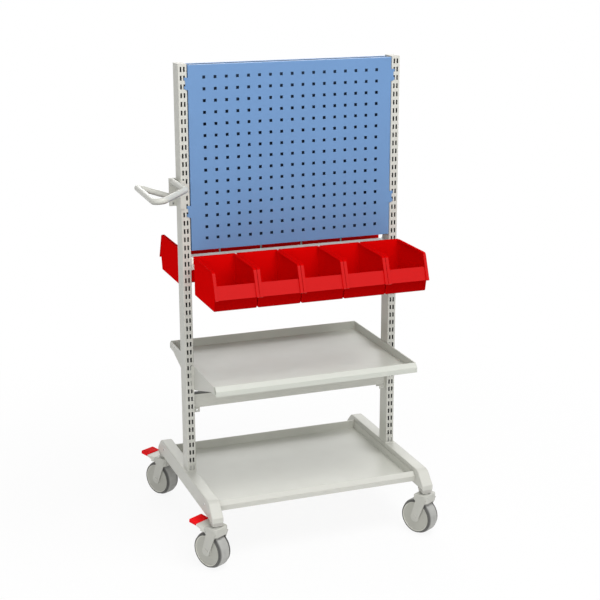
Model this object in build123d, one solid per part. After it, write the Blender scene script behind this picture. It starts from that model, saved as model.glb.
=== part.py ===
from build123d import *
import math
import os

os.makedirs("parts", exist_ok=True)

# Millimetres: X runs to the right, Y to the rear and Z up from the floor.

# Castors
wheel_diameter = 125.0
wheel_width = 54.0
disc_inset = 5.0
disc_flange = 2.5
disc_edge = 0.8
tyre_height = 13.0
tyre_shoulder = 12.0
tyre_side_gap = 0.2
wheel_dish = 2.0
hub_radius = 17.0
rim_land = 5.0
axle_radius = 5.0
axle_head_rim = 2.0
axle_head = 2.0
castor_trail = 20.0
castor_turn = 28.5
wheel_top_gap = 16.0
stem_radius = 6.0
stem_flange_rim = 11.0
stem_flange = 3.0
stem_head_rim = 3.0
stem_head = 4.0
crown_thickness = 10.0
crown_front = 27.0
crown_rear = 24.0
crown_corner = 12.0
crown_edge = 4.0
crown_side_rise = 9.0
apron_height = 29.5
fork_wall = 4.0
leg_end_radius = 16.5
leg_front_inset = 2.0
leg_rear_inset = 9.0
leg_shoulder_drop = 17.5
running_fit = 0.05
wheel_side_gap = 0.75
swivel_gap = 0.5

# Brake pedals
pedal_pin_radius = 2.5
pedal_pin_trail = 18.0
pedal_pin_drop = 17.5
pedal_sheet = 3.0
pedal_gap = 1.5
pedal_length = 36.5
pedal_top_drop = 2.5
pedal_skirt = 18.0
pedal_tip_skirt = 6.0
lug_thickness = 5.0
lug_gap = 2.0
lug_rim = 2.0
shoe_length = 10.0
shoe_trail = 16.0
shoe_rise = 2.7
tread_length = 37.0
tread_width = 58.0
tread_thickness = 11.0
tread_under = 5.0
tread_tilt = 6.0
tread_edge = 2.0
tongue_thickness = 3.0
tongue_margin = 4.0
tread_fit = 0.1

# Feet
foot_length = 691.0
foot_width = 40.0
foot_height = 60.0
foot_wall = 2.5
foot_edge = 4.0
foot_slope = 45.0
foot_end_face = 16.0
foot_bend = 40.0
foot_end_bend = 5.0
end_cap_height = 14.0
end_cap_length = 42.0
end_cap_inset = 0.5
end_cap_rim = 5.0
end_cap_step = 2.0
end_cap_corner = 6.0
plug_height = 13.0
plug_fit = 0.2

# Uprights
module_width = 750.0
upright_width = 30.0
upright_depth = 60.0
upright_wall = 2.0
upright_corner = 2.5
upright_length = 1400.0
slot_pitch = 28.0
slot_height = 16.0
slot_width = 5.5
slot_columns = 11.0
slot_margin = 15.0
slot_foot_margin = 10.0
cap_thickness = 2.0
cap_plug = 6.0
spigot_height = 30.0
spigot_wall = 3.0
spigot_fit = 0.3
fit_gap = 0.1

# Hooks that drop into the slots
hook_neck = 9.0
hook_tip = 5.0
hook_drop = 4.0
hook_clearance = 0.5

# Perforated panels
panel_height = 612.0
panel_side_gap = 2.5
panel_top_gap = 2.0
panel_sheet = 1.5
panel_depth = 20.0
panel_edge = 1.2
hole_pitch = 38.0
hole_size = 10.0
ear_height = 40.0
ear_rise = 9.0
ear_reach = 9.0
ear_corner = 5.0
upper_ear_slot = 2
lower_ear_slot = 17

# Beam and rails that carry the bins
bin_beam_gap = 26.5
bin_beam_height = 40.0
beam_wall = 2.0
beam_corner = 3.0
rail_sheet = 2.0
rail_end_gap = 5.0
rail_leaf = 19.0
rail_leaf_drop = 16.0
rail_lip_clearance = 2.3
rail_screw_spacing = 250.0

# Bins
bins_per_row = 5
bin_width = 148.0
bin_gap = 1.3
bin_rim_reach = 2.0
bin_wall = 2.5
bin_height = 130.0
bin_rise = 16.1
bin_standoff = 49.0
bin_row_shift = 5.4
bin_knee = 211.0
bin_knee_bend = 12.0
bin_reach = 245.0
bin_base_reach = 219.0
bin_step_reach = 228.0
bin_step_height = 42.0
bin_lip_height = 43.0
bin_rim = 3.0
bin_rim_width = 10.0
bin_lip_inset = 5.0
bin_base_radius = 6.0
bin_edge = 0.8
bin_hook_depth = 9.0
bin_hook_drop = 27.0
bin_hook_width = 142.0
bin_seat_gap = 0.3

# Trays
tray_side_gap = 1.0
tray_sheet = 1.5
tray_depth = 30.0
tray_inner = 534.0
tray_reach = 568.0
tray_rim_angle = 41.0
tray_rim_bend = 1.5
tray_crease_bend = 2.0
tray_floor_bend = 2.5
tray_side_drop = 2.0
tray_tab = 16.0
tray_corner_hole = 3.0
tray_corner_inset = 6.0
base_rim_drop = 15.0
tray_screw_inset = 9.0
tray_screw_drop = 26.0
shelf_slot = 37
shelf_above_slot = 36.0

# Shelf brackets
bracket_sheet = 2.0
bracket_gap = 0.5
bracket_reach = 236.0
bracket_tip = 17.0
bracket_low = 86.0
bracket_toe = 13.0
bracket_top_drop = 2.0
bracket_lip = 14.0
bracket_lip_length = 160.0

# Cross beam under the shelf
cross_beam_drop = 110.0
cross_beam_height = 50.0
cross_beam_depth = 30.0
end_bracket_sheet = 2.0
end_bracket_length = 20.0
end_bracket_drop = 16.0
end_bracket_hole = 3.0

# Handle
handle_radius = 10.0
handle_wall = 2.0
handle_reach = 159.0
handle_rear_reach = 131.0
handle_front = 332.0
handle_knee = 137.0
handle_knee_bend = 25.0
handle_front_bend = 20.0
handle_rear_bend = 25.0
handle_sag = 15.0
handle_drop = 41.0
handle_slot = 14
handle_above_slot = 21.0
handle_weld_gap = 0.2
clamp_sheet = 3.0
clamp_lip = 12.0
clamp_ear = 21.0
clamp_above_tube = 10.0
clamp_below_slot = 35.0
clamp_screw_rise = 9.0

# Screws
screw_radius = 3.0
screw_head_radius = 5.5
screw_head = 3.0
screw_fit = 0.1

# Derived positions
wheel_radius = wheel_diameter / 2
disc_radius = wheel_radius - disc_inset
core_radius = wheel_radius - tyre_height
crown_under = wheel_diameter + wheel_top_gap
crown_top = crown_under + crown_thickness
castor_height = crown_top + swivel_gap + stem_flange
axle_head_radius = axle_radius + axle_head_rim
leg_shoulder = crown_top - leg_shoulder_drop
fork_inner = wheel_width / 2 + wheel_side_gap
fork_outer = fork_inner + fork_wall
pedal_start = crown_rear + pedal_gap
pedal_end = pedal_start + pedal_length
pedal_top = crown_top - pedal_top_drop
pedal_skirt_low = pedal_top - pedal_skirt
pedal_skirt_end = pedal_top - pedal_tip_skirt
pedal_pin_height = crown_top - pedal_pin_drop
lug_radius = pedal_pin_radius + lug_rim
shoe_start = castor_trail + shoe_trail
shoe_low = wheel_diameter + shoe_rise
foot_under = castor_height + end_cap_height
foot_top = foot_under + foot_height
upright_top = foot_top + upright_length
upright_x = module_width / 2
inner_half = upright_x - upright_width / 2
outer_half = upright_x + upright_width / 2
face = upright_depth / 2
foot_x = inner_half + foot_width / 2
stem_y = foot_length / 2 - end_cap_inset - end_cap_length / 2
plug_length = end_cap_length - 2 * (foot_wall + plug_fit)
slot_count = int((upright_length - slot_margin - slot_foot_margin) / slot_pitch) + 1
inner_column = upright_x - slot_columns / 2
outer_column = upright_x + slot_columns / 2
panel_width = 2 * (inner_half - panel_side_gap)
panel_top = upright_top - panel_top_gap
panel_middle = panel_top - panel_height / 2
bin_beam_top = panel_top - panel_height - bin_beam_gap
bin_top = bin_beam_top + bin_rise
bin_back = face + bin_standoff
base_rim = foot_top - base_rim_drop
base_screw_z = foot_top - tray_screw_drop
tray_half = inner_half - tray_side_gap
tray_screw_y = tray_inner / 2 - tray_screw_inset
rail_length = 2 * (inner_half - rail_end_gap)
bin_body_width = bin_width - 2 * bin_rim_reach


def slot_z(index):
    """Height of the middle of a slot, counted from the top."""
    return upright_top - slot_margin - index * slot_pitch


shelf_rim = slot_z(shelf_slot) + shelf_above_slot
cross_beam_top = shelf_rim - cross_beam_drop
cross_beam_under = cross_beam_top - cross_beam_height
handle_z = slot_z(handle_slot) + handle_above_slot


def block(x, y, z):
    """Box that fills three (low, high) ranges."""
    spans = (x, y, z)
    middle = [(low + high) / 2 for low, high in spans]
    return Pos(*middle) * Box(*[high - low for low, high in spans])


def slab(outline, low, high):
    """Outline in the Y-Z plane, extruded between two X positions."""
    return extrude(Plane.YZ.offset(low) * outline, amount=high - low)


def polygon(*points):
    return make_face(Polyline(*points, close=True))


def rounded(points, radii):
    return make_face(FilletPolyline(*points, radius=radii, close=True))


def rod(start, end, radius):
    """Round bar between two points."""
    axis = Vector(*end) - Vector(*start)
    seat = Plane(origin=start, z_dir=axis)
    return seat * Cylinder(radius, axis.length, align=(Align.CENTER, Align.CENTER, Align.MIN))


def box_tube(plane, width, height, wall, corner, length):
    """Hollow rectangular tube along the normal of a plane."""
    outer = RectangleRounded(width, height, corner)
    inner = RectangleRounded(width - 2 * wall, height - 2 * wall, max(corner - wall, wall / 4))
    return extrude(plane * (outer - inner), amount=length)


def screw(seat, direction, length):
    """Screw whose head sits on the seat and whose shank runs along the direction."""
    start = Vector(*seat)
    along = Vector(*direction)
    head = rod(start, start - along * screw_head, screw_head_radius)
    head = fillet(head.edges().sort_by_distance(start - along * screw_head)[0], screw_head / 3)
    return head + rod(start, start + along * length, screw_radius)


def screw_hole(seat, direction, length):
    start = Vector(*seat)
    return rod(start, start + Vector(*direction) * length, screw_radius + screw_fit)


def to_right(shape):
    return mirror(shape, about=Plane.YZ)


def to_rear(shape):
    """The same piece turned half round, for the rear side."""
    return Rot(0, 0, 180) * shape


def neck_height(index):
    """Low and high edge of a hook's neck in a slot."""
    low = slot_z(index) - slot_height / 2 + hook_clearance
    return (low, low + hook_neck)


def hook(x, index, sheet):
    """Tongue through a slot of the front face, with a tip that drops behind the wall."""
    low, top = neck_height(index)
    inside = -face + upright_wall + hook_clearance
    across = (x - sheet / 2, x + sheet / 2)
    neck = block(across, (-face - fit_gap - sheet, inside + hook_tip), (low, top))
    tip = block(across, (inside, inside + hook_tip), (low - hook_clearance - hook_drop, top))
    return neck + tip


# Screw seats, shared by the screws and by the pieces they go through
beam_screw_z = cross_beam_under - end_bracket_drop / 2
beam_screw_x = inner_half - end_bracket_sheet
saddle_screw_x = beam_screw_x - end_bracket_length / 2
saddle_screw_z = cross_beam_under - end_bracket_sheet
rail_screw_z = bin_beam_top - rail_leaf_drop - rail_leaf / 2
clamp_screw_x = -(outer_half + clamp_sheet + handle_radius)
clamp_screw_z = slot_z(handle_slot + 1) - clamp_below_slot + clamp_screw_rise


def upright(side):
    base = Plane((side * upright_x, 0, foot_top))
    tube = box_tube(base, upright_width, upright_depth, upright_wall, upright_corner, upright_length)
    slots = []
    for index in range(slot_count):
        for column in (inner_column, outer_column):
            middle = Pos(side * column, 0, slot_z(index))
            slots.append(middle * Box(slot_width, 2 * upright_depth, slot_height))
    seat = (side * beam_screw_x, 0, beam_screw_z)
    return tube - slots - screw_hole(seat, (side, 0, 0), upright_width / 2)


def upright_cap(side):
    plug = [size - 2 * (upright_wall + plug_fit) for size in (upright_width, upright_depth)]
    lid = RectangleRounded(upright_width, upright_depth, upright_corner)
    cap = extrude(lid, amount=cap_thickness)
    cap = fillet(cap.edges().group_by(Axis.Z)[-1], cap_thickness / 2)
    stub = extrude(RectangleRounded(*plug, upright_wall / 2), amount=-cap_plug)
    return Pos(side * upright_x, 0, upright_top) * (cap + stub)


def upright_spigot(side):
    sizes = [size - 2 * (upright_wall + spigot_fit) for size in (upright_width, upright_depth)]
    base = Plane((side * upright_x, 0, foot_top))
    return box_tube(base, *sizes, spigot_wall, upright_corner, spigot_height)


def foot(side):
    half = foot_length / 2
    points = [(-half, 0), (-half, foot_end_face), (foot_slope - half, foot_height)]
    points += [(-y, z) for y, z in reversed(points)]
    bends = [0, foot_end_bend, foot_bend]
    outline = rounded(points, bends + bends[::-1])
    body = slab(outline, -foot_width / 2, foot_width / 2)
    ends = body.faces().sort_by(Axis.X)
    body = fillet(ends[0].edges() + ends[-1].edges(), foot_edge)
    room = foot_width / 2 - foot_wall
    body -= slab(offset(outline, -foot_wall), -room, room)
    for end in (-1, 1):
        window = Box(2 * room, plug_length + 2 * plug_fit, 4 * foot_wall)
        body -= Pos(0, end * stem_y, 0) * window
    body = Pos(side * foot_x, 0, foot_under) * body
    for end in (-1, 1):
        seat = (side * (foot_x + foot_width / 2), end * tray_screw_y, base_screw_z)
        body -= screw_hole(seat, (-side, 0, 0), foot_width)
    return body


def end_cap(side, end):
    width = foot_width - 2 * end_cap_inset
    slim = [size - 2 * end_cap_step for size in (width, end_cap_length)]
    collar = extrude(RectangleRounded(*slim, end_cap_corner - end_cap_step), amount=end_cap_height)
    collar = fillet(collar.edges().group_by(Axis.Z)[0], end_cap_step)
    rim = extrude(RectangleRounded(width, end_cap_length, end_cap_corner), amount=end_cap_rim)
    rim = fillet(rim.edges().group_by(Axis.Z)[0], end_cap_step / 2)
    collar += Pos(0, 0, end_cap_height - end_cap_rim) * rim
    room = foot_width - 2 * (foot_wall + plug_fit)
    plug = Pos(0, 0, end_cap_height + plug_height / 2) * Box(room, plug_length, plug_height)
    bore = rod((0, 0, 0), (0, 0, end_cap_height + plug_height), stem_radius + running_fit)
    return Pos(side * foot_x, end * stem_y, castor_height) * (collar + plug - bore)


def tray_screw(side, end):
    seat = (side * (foot_x + foot_width / 2), end * tray_screw_y, base_screw_z)
    return screw(seat, (-side, 0, 0), foot_width + 2 * tray_side_gap + 2 * tray_sheet)


def panel():
    front = -(face + fit_gap + panel_sheet)
    columns = int((panel_width - 2 * hole_pitch) / hole_pitch) + 1
    rows = int((panel_height - 2 * hole_pitch) / hole_pitch) + 1
    grid = GridLocations(hole_pitch, hole_pitch, columns, rows)
    holes = [(spot * Rectangle(hole_size, hole_size)).face().outer_wire() for spot in grid]
    outline = Rectangle(panel_width, panel_height).face().outer_wire()
    sheet = extrude(Plane.XZ.offset(-front - panel_sheet) * Face(outline, holes), amount=panel_sheet)
    across = (-panel_width / 2, panel_width / 2)
    upward = (-panel_height / 2, panel_height / 2)
    depth = (front, front + panel_depth)
    for low in (across[0], across[1] - panel_sheet):
        sheet += block((low, low + panel_sheet), depth, upward)
    for low in (upward[0], upward[1] - panel_sheet):
        sheet += block(across, depth, (low, low + panel_sheet))
    rim = [e for e in sheet.edges().group_by(Axis.Y)[0] if e.length > panel_height / 2]
    sheet = Pos(0, 0, panel_middle) * fillet(rim, panel_edge)
    for index in (upper_ear_slot, lower_ear_slot):
        for side in (-1, 1):
            sheet += panel_ear(side, index, front)
    return sheet


def panel_ear(side, index, front):
    """Ear on a panel's edge, with a hook in a slot and in the one above it."""
    root = panel_width / 2 - hole_pitch / 4
    tip = panel_width / 2 + ear_reach
    middle = slot_z(index) + ear_rise
    depth = (front, front + panel_sheet)
    height = (middle - ear_height / 2, middle + ear_height / 2)
    ear = block(sorted((side * root, side * tip)), depth, height)
    corners = ear.edges().filter_by(Axis.Y).group_by(Axis.X)[-1 if side > 0 else 0]
    ear = fillet(corners, ear_corner)
    for slot in (index - 1, index):
        across = sorted((side * (tip - ear_corner), side * (inner_column + panel_sheet / 2)))
        ear += block(across, depth, neck_height(slot))
        ear += hook(side * inner_column, slot, panel_sheet)
    return ear


def bin_beam():
    start = Plane((-inner_half, 0, bin_beam_top - bin_beam_height / 2), x_dir=(0, 1, 0), z_dir=(1, 0, 0))
    beam = box_tube(start, upright_depth, bin_beam_height, beam_wall, beam_corner, 2 * inner_half)
    for seat, direction in rail_screw_seats():
        beam -= screw_hole(seat, direction, rail_sheet + 2 * beam_wall)
    return beam


def rail_screw_seats():
    seats = []
    for x in (-rail_screw_spacing, 0, rail_screw_spacing):
        for end in (-1, 1):
            seats.append(((x, end * (face + rail_sheet), rail_screw_z), (0, -end, 0)))
    return seats


def bin_rail():
    shelf = bin_beam_top - rail_leaf_drop
    lip = -(bin_back - rail_lip_clearance)
    lip_top = bin_top - bin_wall - bin_seat_gap
    path = [(-face, shelf - rail_leaf), (-face, shelf), (lip, shelf), (lip, lip_top)]
    fold = rail_sheet / 2
    line = FilletPolyline(*path, radius=[fold + rail_sheet, fold])
    strip = make_face(offset(line, rail_sheet, side=Side.LEFT))
    rail = slab(strip, -rail_length / 2, rail_length / 2)
    for seat, direction in rail_screw_seats():
        if seat[1] < 0:
            rail -= screw_hole(seat, direction, rail_sheet)
    return rail


def bin_front(height):
    """How far the slanted front plane of a bin lies ahead of its back at a height."""
    lean = (bin_reach - bin_knee) / (bin_height - bin_step_height)
    return bin_reach - lean * (height - bin_step_height)


def hopper():
    """One bin with its back at Y 0, its open front towards -Y and its base at Z 0."""
    lean = math.atan2(bin_reach - bin_knee, bin_height - bin_step_height)
    wall = bin_wall
    inset = bin_lip_inset / math.cos(lean)
    slant = inset + wall / math.cos(lean)
    lip_top = bin_step_height + bin_lip_height
    inner_step = bin_step_height + wall
    outer = [(0, 0), (-bin_base_reach, 0), (-bin_step_reach, bin_step_height)]
    outer += [(-bin_reach, bin_step_height), (-bin_knee, bin_height), (0, bin_height)]
    r = bin_base_radius
    radii = [r, r, wall, wall / 2, bin_knee_bend, 0]
    body = slab(rounded(outer, radii), -bin_body_width / 2, bin_body_width / 2)
    low_edges = body.edges().group_by(Axis.Z)[0].filter_by(Axis.Y)
    backs = body.faces().sort_by(Axis.Y)[-1].edges().filter_by(Axis.Z)
    body = fillet(low_edges + backs, r / 2)
    open_y = -2 * bin_reach
    cavity = [(-wall, wall), (wall - bin_base_reach, wall), (wall - bin_step_reach, inner_step)]
    cavity += [(slant - bin_front(inner_step), inner_step), (slant - bin_front(lip_top), lip_top)]
    cavity += [(open_y, lip_top), (open_y, 2 * bin_height), (-wall, 2 * bin_height)]
    room = bin_body_width / 2 - wall
    radii = [r - wall, r - wall, wall, wall / 2, wall / 2, 0, 0, 0]
    body -= slab(rounded(cavity, radii), -room, room)
    recess = [(-bin_reach, bin_step_height), (inset - bin_reach, bin_step_height)]
    recess += [(inset - bin_front(lip_top), lip_top), (-bin_reach, lip_top)]
    mouth = bin_width / 2 - bin_rim_width
    body -= slab(polygon(*recess), -mouth, mouth)
    corners = [(0, bin_height), (-bin_knee, bin_height), (-bin_reach, bin_step_height)]
    edge = FilletPolyline(*corners, radius=bin_knee_bend)
    strip = make_face(offset(edge, bin_rim, side=Side.LEFT))
    for side in (-1, 1):
        low, high = sorted((side * mouth, side * bin_width / 2))
        border = slab(strip, low, high)
        outside = border.faces().sort_by(Axis.X)[-1 if side > 0 else 0]
        body += fillet(outside.edges(), bin_edge)
    half = bin_hook_width / 2
    hook_top = (bin_height - wall, bin_height)
    body += block((-half, half), (-wall, bin_hook_depth), hook_top)
    drop = (bin_height - bin_hook_drop, bin_height)
    body += block((-half, half), (bin_hook_depth - wall, bin_hook_depth), drop)
    return body


def bin_places():
    pitch = bin_width + bin_gap
    first = bin_row_shift - pitch * (bins_per_row - 1) / 2
    return [Pos(first + i * pitch, -bin_back, bin_top - bin_height) for i in range(bins_per_row)]


def tray(rim):
    """Pan with folded front and rear rims, given the height of its rim."""
    floor = rim - tray_depth
    under = floor - tray_sheet
    half_angle = math.radians(tray_rim_angle / 2)
    ridge = rim - tray_sheet - tray_rim_bend + tray_rim_bend / math.tan(half_angle)
    wall = tray_inner / 2 + tray_sheet
    lip = tray_reach / 2 - tray_sheet
    crease = ridge - (lip - wall) / math.tan(math.radians(tray_rim_angle))
    path = [(-lip, under), (-lip, crease), (-wall, ridge), (-wall, under)]
    path += [(-y, z) for y, z in reversed(path)]
    bends = [tray_crease_bend, tray_rim_bend, tray_floor_bend]
    line = FilletPolyline(*path, radius=bends + bends[::-1])
    pan = slab(make_face(offset(line, tray_sheet, side=Side.LEFT)), -tray_half, tray_half)
    for low in (-tray_half, tray_half - tray_sheet):
        side_wall = (low, low + tray_sheet)
        pan += block(side_wall, (-tray_inner / 2, tray_inner / 2), (under, rim - tray_side_drop))
    height = (under, rim - tray_side_drop)
    middle = floor + tray_depth / 2
    for end in (-1, 1):
        edge = end * tray_inner / 2
        depth = sorted((edge - end * tray_sheet, edge))
        for side in (-1, 1):
            pan += block(sorted((side * (tray_half - tray_tab), side * tray_half)), depth, height)
        hole_y = edge - end * (tray_sheet + tray_corner_inset)
        pan -= rod((-inner_half, hole_y, middle), (inner_half, hole_y, middle), tray_corner_hole)
    return pan


def base_tray():
    pan = tray(base_rim)
    for side in (-1, 1):
        for end in (-1, 1):
            seat = (side * inner_half, end * tray_screw_y, base_screw_z)
            pan -= screw_hole(seat, (-side, 0, 0), 2 * tray_side_gap + 2 * tray_sheet)
    return pan


def shelf_bracket():
    """Front bracket on the left upright."""
    inner = -(tray_half + bracket_gap)
    outer = inner - bracket_sheet
    root = -(face + fit_gap)
    top = shelf_rim - bracket_top_drop
    low = shelf_rim - bracket_low
    tip = root - bracket_reach
    under = shelf_rim - tray_depth - tray_sheet
    wing = polygon((root, top), (tip, top), (tip, top - bracket_tip), (root - bracket_toe, low), (root, low))
    plate = slab(wing, outer, inner)
    column = -inner_column
    plate += block((column - bracket_sheet / 2, inner), (root - bracket_sheet, root), (low, top))
    along = (root - bracket_toe - bracket_lip_length, root - bracket_toe)
    plate += block((outer, inner + bracket_lip), along, (under - bracket_sheet, under))
    for index in (shelf_slot, shelf_slot + 1):
        plate += hook(column, index, bracket_sheet)
    return plate


def cross_beam():
    end = inner_half - end_bracket_sheet
    start = Plane((-end, 0, cross_beam_top - cross_beam_height / 2), x_dir=(0, 1, 0), z_dir=(1, 0, 0))
    beam = box_tube(start, cross_beam_depth, cross_beam_height, beam_wall, beam_corner, 2 * end)
    for side in (-1, 1):
        seat = (side * saddle_screw_x, 0, saddle_screw_z)
        beam -= screw_hole(seat, (0, 0, 1), end_bracket_sheet + 2 * beam_wall)
    return beam


def beam_bracket():
    """Bracket under the left end of the cross beam."""
    sheet = end_bracket_sheet
    half = cross_beam_depth / 2
    wall = (-inner_half, sheet - inner_half)
    reach = (-inner_half, sheet + end_bracket_length - inner_half)
    low = cross_beam_under - end_bracket_drop
    bracket = block(wall, (-half, half), (low, cross_beam_top))
    bracket += block(reach, (-half, half), (cross_beam_under - sheet, cross_beam_under))
    for front in (-half, half - sheet):
        bracket += block(reach, (front, front + sheet), (low, cross_beam_under))
    hole_x = reach[1] - end_bracket_length / 2
    bracket -= rod((hole_x, -2 * half, beam_screw_z), (hole_x, 2 * half, beam_screw_z), end_bracket_hole)
    bracket -= screw_hole((-beam_screw_x, 0, beam_screw_z), (-1, 0, 0), sheet)
    return bracket - screw_hole((-saddle_screw_x, 0, saddle_screw_z), (0, 0, 1), sheet)


def beam_screws():
    screws = []
    for side in (-1, 1):
        length = end_bracket_sheet + 2 * upright_wall
        screws.append(screw((side * beam_screw_x, 0, beam_screw_z), (side, 0, 0), length))
        length = end_bracket_sheet + 2 * beam_wall
        screws.append(screw((side * saddle_screw_x, 0, saddle_screw_z), (0, 0, 1), length))
    return screws


def handle_tube():
    near = -(outer_half + fit_gap + clamp_sheet + handle_radius)
    far = -(outer_half + handle_reach)
    far_rear = -(outer_half + handle_rear_reach)
    rear = face + fit_gap + clamp_sheet + handle_radius + handle_weld_gap
    corners = [(near, face + fit_gap - clamp_sheet, handle_z), (near, -handle_knee, handle_z)]
    corners += [(far, -handle_front, handle_z), (far_rear, rear, handle_z - handle_sag)]
    corners.append((near, rear, handle_z - handle_sag - handle_drop))
    line = FilletPolyline(*corners, radius=[handle_knee_bend, handle_front_bend, handle_rear_bend])
    ring = Circle(handle_radius) - Circle(handle_radius - handle_wall)
    return sweep(Plane(line @ 0, z_dir=line % 0) * ring, path=line)


def clamp_height():
    return (slot_z(handle_slot + 1) - clamp_below_slot, handle_z + clamp_above_tube)


def handle_bracket():
    """Sheet that wraps the left upright, with hooks at the front and an ear at the rear."""
    side = -(outer_half + fit_gap)
    front = -(face + fit_gap)
    rear = face + fit_gap
    height = clamp_height()
    wrap = block((side - clamp_sheet, side), (front - clamp_sheet, rear), height)
    wrap += block((side - clamp_sheet, side + clamp_lip), (front - clamp_sheet, front), height)
    wrap += block((side - clamp_ear - clamp_sheet, side), (rear - clamp_sheet, rear), height)
    bends = wrap.edges().filter_by(Axis.Z)
    outer_bend = bends.sort_by_distance((side - clamp_sheet, front - clamp_sheet, handle_z))[0]
    wrap = fillet(outer_bend, clamp_sheet / 2)
    for index in (handle_slot, handle_slot + 1):
        wrap += hook(-outer_column, index, clamp_sheet)
    seat = (clamp_screw_x, rear - clamp_sheet, clamp_screw_z)
    return wrap - screw_hole(seat, (0, 1, 0), clamp_sheet)


def handle_clamp():
    """Flat plate behind the left upright, screwed to the ear of the bracket."""
    side = -(outer_half + fit_gap)
    rear = face + fit_gap
    across = (side - clamp_ear - clamp_sheet, side + clamp_lip)
    plate = block(across, (rear, rear + clamp_sheet), clamp_height())
    return plate - screw_hole((clamp_screw_x, rear, clamp_screw_z), (0, 1, 0), clamp_sheet)


def handle_screw():
    seat = (clamp_screw_x, face + fit_gap - clamp_sheet, clamp_screw_z)
    return screw(seat, (0, 1, 0), 3 * clamp_sheet)


def castor_stem():
    stem = rod((0, 0, crown_under - swivel_gap), (0, 0, foot_under + plug_height), stem_radius)
    flange_radius = stem_radius + stem_flange_rim
    stem += rod((0, 0, castor_height - stem_flange), (0, 0, castor_height), flange_radius)
    head_top = crown_under - swivel_gap
    return stem + rod((0, 0, head_top - stem_head), (0, 0, head_top), stem_radius + stem_head_rim)


def fork(braked):
    """Castor fork with its stem axis at the origin and its trail towards +Y."""
    low = crown_top - apron_height
    crown = block((-fork_outer, fork_outer), (-crown_front, crown_rear), (low, crown_top))
    crown = fillet(crown.edges().filter_by(Axis.Z).group_by(Axis.Y)[0], crown_corner)
    crown = fillet(crown.edges().group_by(Axis.Z)[-1], crown_edge)
    room = block((-fork_inner, fork_inner), (fork_wall - crown_front, 2 * crown_rear), (low, crown_under))
    room = fillet(room.edges().filter_by(Axis.Z).group_by(Axis.Y)[0], crown_corner - fork_wall)
    crown -= room
    reach = 2 * fork_outer
    leg_rear = crown_rear - leg_rear_inset
    notch = polygon((leg_rear, low), (crown_rear, low), (crown_rear, low + crown_side_rise))
    crown -= slab(notch, -reach, reach)
    r = leg_end_radius
    hub = (castor_trail, wheel_radius)
    shoulder = (leg_front_inset - crown_front, leg_shoulder)
    leg = polygon(shoulder, (leg_rear, leg_shoulder), (hub[0] + r, hub[1]), (hub[0] - r, hub[1]))
    leg += Pos(*hub) * Circle(r)
    cheek = slab(leg, fork_inner, fork_outer)
    crown += cheek
    crown += to_right(cheek)
    crown -= rod((0, 0, low), (0, 0, castor_height), stem_radius + running_fit)
    crown -= rod((-reach, *hub), (reach, *hub), axle_radius + running_fit)
    if braked:
        pin = (pedal_pin_trail, pedal_pin_height)
        crown -= rod((-reach, *pin), (reach, *pin), pedal_pin_radius + running_fit)
    return crown


def axle():
    hub = (castor_trail, wheel_radius)
    bar = rod((-fork_outer, *hub), (fork_outer, *hub), axle_radius)
    for side in (-1, 1):
        head = rod((side * fork_outer, *hub), (side * (fork_outer + axle_head), *hub), axle_head_radius)
        rim = head.edges().sort_by(Axis.X)[-1 if side > 0 else 0]
        bar += fillet(rim, axle_head / 2)
    return bar


def spun(outline):
    """Outline of (radius, offset) points turned about the wheel axis."""
    ring = revolve(Plane.YX * outline, axis=Axis.X)
    return Pos(0, castor_trail, wheel_radius) * ring


def wheel_disc():
    """Core with a side disc over each shoulder of the tyre."""
    half = wheel_width / 2
    bore = axle_radius + running_fit
    dish = half - wheel_dish
    land = disc_radius - rim_land
    points = [(bore, half), (hub_radius, half), (hub_radius + wheel_dish, dish)]
    points += [(land - wheel_dish, dish), (land, half), (disc_radius, half)]
    points += [(disc_radius, half - disc_flange), (core_radius, half - disc_flange)]
    radii = [0, wheel_dish / 2, wheel_dish / 2, wheel_dish, wheel_dish / 2, disc_edge, disc_edge, 0]
    points += [(r, -x) for r, x in reversed(points)]
    return spun(rounded(points, radii + radii[::-1]))


def tyre():
    half = wheel_width / 2 - disc_flange - tyre_side_gap
    points = [(core_radius, -half), (core_radius, half), (wheel_radius, half), (wheel_radius, -half)]
    shoulder = min(tyre_shoulder, tyre_height - disc_edge)
    return spun(rounded(points, [0, 0, shoulder, shoulder]))


def tread_place():
    return Pos(0, pedal_end, pedal_top) * Rot(tread_tilt, 0, 0)


def pedal():
    """Brake lever: lugs on the pin, a folded arm, a shoe over the tyre and a tongue."""
    sheet = pedal_sheet
    half = fork_outer
    end = (pedal_start, pedal_end)
    arm = block((-half, half), end, (pedal_top - sheet, pedal_top))
    skirt = polygon(
        (pedal_start, pedal_top),
        (pedal_end, pedal_top),
        (pedal_end, pedal_skirt_end),
        (pedal_start, pedal_skirt_low),
    )
    for low in (-half, half - sheet):
        arm += slab(skirt, low, low + sheet)
    arm += block((-half, half), (pedal_start, pedal_start + sheet), (pedal_skirt_low, pedal_top))
    pin = (pedal_pin_trail, pedal_pin_height)
    lug = polygon(
        (pin[0], pin[1] - lug_radius),
        (pedal_start, pin[1] - lug_radius),
        (pedal_start, pin[1] + lug_radius),
        (pin[0], pin[1] + lug_radius),
    )
    lug += Pos(*pin) * Circle(lug_radius)
    outer = fork_inner - lug_gap
    for low in (-outer, outer - lug_thickness):
        arm += slab(lug, low, low + lug_thickness)
    shoe_end = shoe_start + shoe_length
    shoe = (sheet - half, half - sheet)
    arm += block(shoe, (pedal_start, shoe_end), (pedal_skirt_low, pedal_skirt_low + sheet))
    arm += block(shoe, (shoe_start, shoe_end), (shoe_low, pedal_skirt_low))
    arm -= rod((-half, *pin), (half, *pin), pedal_pin_radius + running_fit)
    wide = tread_width / 2 - tongue_margin
    tongue = block((-wide, wide), (-sheet, tread_length - tongue_margin), (-tongue_thickness, 0))
    return arm + tread_place() * tongue


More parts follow.
